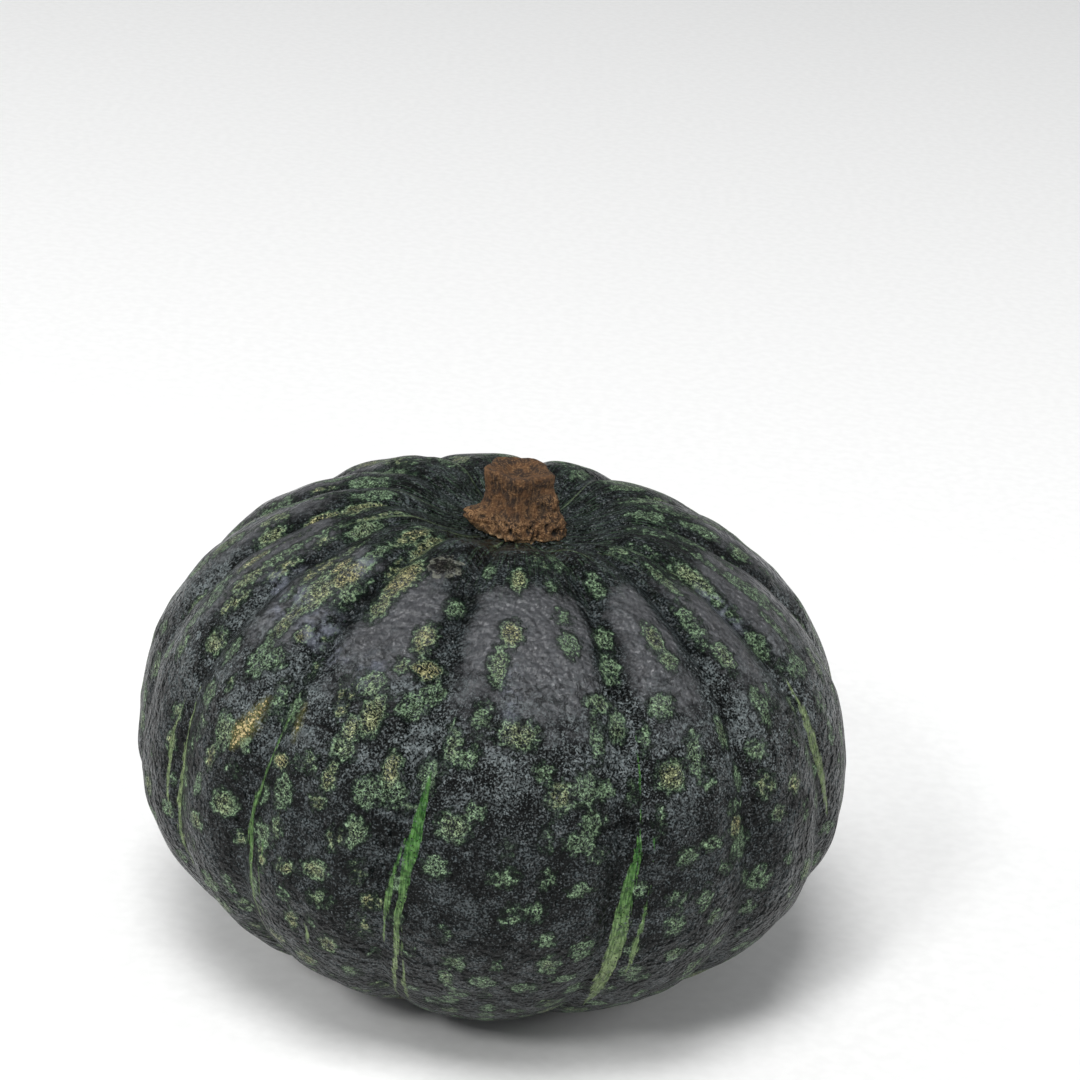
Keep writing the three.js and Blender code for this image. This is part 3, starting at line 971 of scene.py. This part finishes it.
for vert in stem_bm.verts:
    radius = math.hypot(vert.co.x, vert.co.y)
    if radius < 1e-6:
        continue
    height = vert.co.z
    angle = math.atan2(vert.co.x, -vert.co.y)
    azimuth = math.degrees(angle)
    out = Vector((math.sin(angle), -math.cos(angle), 0))
    rim = 1 - smooth((height - 0.6 * RIM_TOP) / (0.6 * RIM_TOP))
    outer = smooth(radius / FULL_RELIEF_RADIUS)
    ridge = 1 + STEM_RIDGE_RISE * math.cos(STEM_RIDGES * angle)
    scallop = SCALLOP_RISE * noise.noise(out * SCALLOPS) * rim
    crumbs = 1 - abs(noise.noise(vert.co / CRUMB_SIZE)) * CRUMB_SHARPNESS
    crumbs += 0.5 * (1 - abs(noise.noise(vert.co / FINE_CRUMB_SIZE)) * CRUMB_SHARPNESS)
    torn = bell(turn(TORN_AZIMUTH, azimuth) / TORN_HALF_WIDTH) * smooth((TORN_TOP - height) / TORN_EASE)
    rough = CRUMB_RISE * max(rim, 0.9 * torn, 0.22)
    fibres = FIBRE_RISE * noise.noise(Vector((out.x * FIBRES, out.y * FIBRES, height / FIBRE_LENGTH)))
    beside_ear = bell(turn(EAR_AZIMUTH, azimuth) / EAR_HALF_WIDTH)
    ear = EAR_REACH * beside_ear * bell((height - EAR_HEIGHT) / EAR_HALF_HEIGHT)
    grow = scallop + rough * (crumbs - 0.7) + fibres + ear + TORN_RISE * torn
    vert.co.x += out.x * (radius * (ridge - 1) + grow * outer)
    vert.co.y += out.y * (radius * (ridge - 1) + grow * outer)
    vert.co.z += EAR_LIFT * beside_ear * rim * outer
    vert.co.z += CUT_RISE * noise.noise(vert.co / CUT_SIZE) * smooth((height - CUT_START) / 0.002)
    vert.co.x += math.tan(STEM_LEAN) * height
    vert[flaky_layer] = max(rim, torn)
    # Painted highlight: a pale line along the lower edge of the foot.
    vert[edge_highlight_layer] = bell((height - 0.0006) / 0.0008)
    # Painted shade: dark in the hollows between the crumbs.
    vert[crevice_shade_layer] = smooth((0.62 - crumbs) / 0.9) * max(rim, torn, 0.35)

bmesh.ops.rotate(stem_bm, cent=(0, 0, 0), matrix=Matrix.Rotation(LEAN, 3, "Y"), verts=stem_bm.verts)
bmesh.ops.translate(stem_bm, vec=stem_foot, verts=stem_bm.verts)

# The lowest part of the foot is drawn down onto the rind.
for vert in stem_bm.verts:
    above = vert.co.z - stem_foot.z
    if above < RIM_TOP:
        hit = rind_tree.ray_cast(vert.co + Vector((0, 0, 0.02)), Vector((0, 0, -1)))[0]
        drop = (vert.co.z - hit.z) * (1 - smooth(above / (0.7 * RIM_TOP)))
        vert.co.z -= max(drop, 0)
bmesh.ops.recalc_face_normals(stem_bm, faces=stem_bm.faces)
for face in stem_bm.faces:
    face.smooth = True

stem_mesh = bpy.data.meshes.new("stem_stump")
stem_bm.to_mesh(stem_mesh)
stem_bm.free()
stem = bpy.data.objects.new("stem_stump", stem_mesh)
bpy.context.scene.collection.objects.link(stem)
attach(stem, "root")
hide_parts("stem")

CORK_DARK = srgb("2c1c0f")
CORK_BROWN = srgb("573a1f")
CORK_FIBRE = srgb("77593a")
CORK_CURL = srgb("a07c55")
CORK_FLAKE = srgb("8c6a45")
# Painted shade in the crevices.
CORK_CREVICE_SHADE = srgb("0c0703")
# Painted highlight along the lower edge of the foot.
CORK_EDGE_HIGHLIGHT = srgb("a48a66")


def make_cork_material():
    """Dry, fibrous cork, paler where it flakes, with painted shade making it nearly black in its crevices and
    a painted highlight along the foot's lower edge.
    """
    material, tree, surface = new_material("stem cork")
    place = add(tree, "ShaderNodeTexCoord", output="Object")
    place = add(tree, "ShaderNodeVectorMath", {0: place, 1: (1 / MM,) * 3}, operation="MULTIPLY")
    upright = add(tree, "ShaderNodeVectorMath", {0: place, 1: (1, 1, 0.18)}, operation="MULTIPLY")
    crevice_shade = add(tree, "ShaderNodeAttribute", output="Fac", attribute_name="crevice_shade")
    flaky = add(tree, "ShaderNodeAttribute", output="Fac", attribute_name="flaky")
    edge_highlight = add(tree, "ShaderNodeAttribute", output="Fac", attribute_name="edge highlight")
    patches = ramp(tree, grains(tree, place, 2.4, detail=2.0), 0.4, 0.62)
    colour = tint(tree, patches, CORK_DARK, CORK_BROWN)
    fibres = ramp(tree, grains(tree, upright, 0.55, detail=3.0), 0.46, 0.66)
    colour = tint(tree, times(tree, fibres, 0.5), colour, CORK_FIBRE)
    curls = calc(tree, "ABSOLUTE", minus(tree, grains(tree, place, 1.1, detail=1.0, distortion=1.0), 0.5))
    curls = times(tree, ramp(tree, curls, 0.05, 0.015), flaky)
    colour = tint(tree, times(tree, curls, 0.7), colour, CORK_CURL)
    flakes = speck(tree, place, 0.6, 0.36)
    colour = tint(tree, times(tree, flakes, 0.45), colour, CORK_FLAKE)
    # Painted shade in the crevices between the crumbs.
    colour = tint(tree, crevice_shade, colour, CORK_CREVICE_SHADE)
    # Painted highlight along the lower edge of the foot.
    edge = times(tree, edge_highlight, ramp(tree, grains(tree, place, 0.9), 0.3, 0.6))
    colour = tint(tree, times(tree, edge, 0.8), colour, CORK_EDGE_HIGHLIGHT)
    tree.links.new(colour, surface.inputs["Base Color"])
    surface.inputs["Roughness"].default_value = 0.85
    grit = times(tree, grains(tree, place, 0.45, detail=3.0), 0.35)
    lines = times(tree, grains(tree, upright, 0.4, detail=2.0), 0.35)
    inputs = {"Height": plus(tree, grit, lines), "Strength": 1.0, "Distance": MM}
    tree.links.new(add(tree, "ShaderNodeBump", inputs), surface.inputs["Normal"])
    return material


stem.data.materials.append(make_cork_material())


# ---- Floor ---------------------------------------------------------------------------------------------
# A pale, matt studio floor, far larger than the view.

FLOOR_SIZE = 6.0
floor_bm = bmesh.new()
bmesh.ops.create_grid(floor_bm, x_segments=1, y_segments=1, size=FLOOR_SIZE / 2)
floor_mesh = bpy.data.meshes.new("floor")
floor_bm.to_mesh(floor_mesh)
floor_bm.free()
floor = bpy.data.objects.new("floor", floor_mesh)
bpy.context.scene.collection.objects.link(floor)
paper, paper_tree, paper_surface = new_material("floor paper")
paper_place = add(paper_tree, "ShaderNodeTexCoord", output="Object")
paper_grain = ramp(paper_tree, grains(paper_tree, paper_place, 0.004), 0.3, 0.7)
paper_colour = tint(paper_tree, paper_grain, srgb("f4f4f3"), srgb("f8f8f7"))
paper_tree.links.new(paper_colour, paper_surface.inputs["Base Color"])
paper_surface.inputs["Roughness"].default_value = 0.9
floor.data.materials.append(paper)


# ---- Lights --------------------------------------------------------------------------------------------
# One wide softbox high over the front, a weaker one at each side, and an even pale surround.


def softbox(name, azimuth, elevation, distance, size, power):
    """A square area light aimed at the middle of the fruit."""
    light = bpy.data.lights.new(name, "AREA")
    light.size = size
    light.energy = power
    angle = math.radians(azimuth)
    level = math.cos(math.radians(elevation))
    towards = Vector((math.sin(angle) * level, -math.cos(angle) * level, math.sin(math.radians(elevation))))
    lamp = bpy.data.objects.new(name, light)
    middle = (fruit_low + fruit_high) / 2
    lamp.location = middle + towards * distance
    lamp.rotation_euler = towards.to_track_quat("Z", "Y").to_euler()
    bpy.context.scene.collection.objects.link(lamp)


softbox("key softbox", azimuth=-14, elevation=64, distance=6.0, size=2.4, power=262)
softbox("front softbox", azimuth=-28, elevation=36, distance=2.0, size=0.32, power=12)
softbox("left softbox", azimuth=-85, elevation=30, distance=1.6, size=0.6, power=6)
softbox("right softbox", azimuth=80, elevation=28, distance=1.6, size=0.6, power=5)

world = bpy.data.worlds.new("surround")
world.use_nodes = True
world.node_tree.nodes["Background"].inputs["Color"].default_value = srgb("f2f4f7")
world.node_tree.nodes["Background"].inputs["Strength"].default_value = 0.27
bpy.context.scene.world = world
bpy.context.scene.view_settings.view_transform = "Standard"


# ---- Camera --------------------------------------------------------------------------------------------
# It looks down on the front at 25 degrees, held a little crooked, with the fruit low in the frame.

CAMERA_DISTANCE = 0.800
CAMERA_ELEVATION = math.radians(25)
CAMERA_ROLL = math.radians(4.6)
HALF_VIEW = 0.137  # half the width seen at that distance
AIM_RIGHT, AIM_UP = 0.0124, 0.0525
EQUATOR_SHARE = 0.458  # height of the widest circle, as a share of the fruit's

centre = (fruit_low + fruit_high) / 2
centre.z = fruit_low.z + EQUATOR_SHARE * (fruit_high.z - fruit_low.z)
away = Vector((0, -math.cos(CAMERA_ELEVATION), math.sin(CAMERA_ELEVATION)))
roll = Matrix.Rotation(-CAMERA_ROLL, 3, -away)
right = roll @ Vector((1, 0, 0))
upward = roll @ away.cross(Vector((1, 0, 0)))
position = centre + away * CAMERA_DISTANCE
forward = (centre + right * AIM_RIGHT + upward * AIM_UP - position).normalized()
right = forward.cross(upward).normalized()
upward = right.cross(forward)
camera_data = bpy.data.cameras.new("camera")
camera_data.angle = 2 * math.atan(HALF_VIEW / CAMERA_DISTANCE)
camera = bpy.data.objects.new("camera", camera_data)
camera.matrix_world = Matrix.Translation(position) @ Matrix((right, upward, -forward)).transposed().to_4x4()
bpy.context.scene.collection.objects.link(camera)
bpy.context.scene.camera = camera
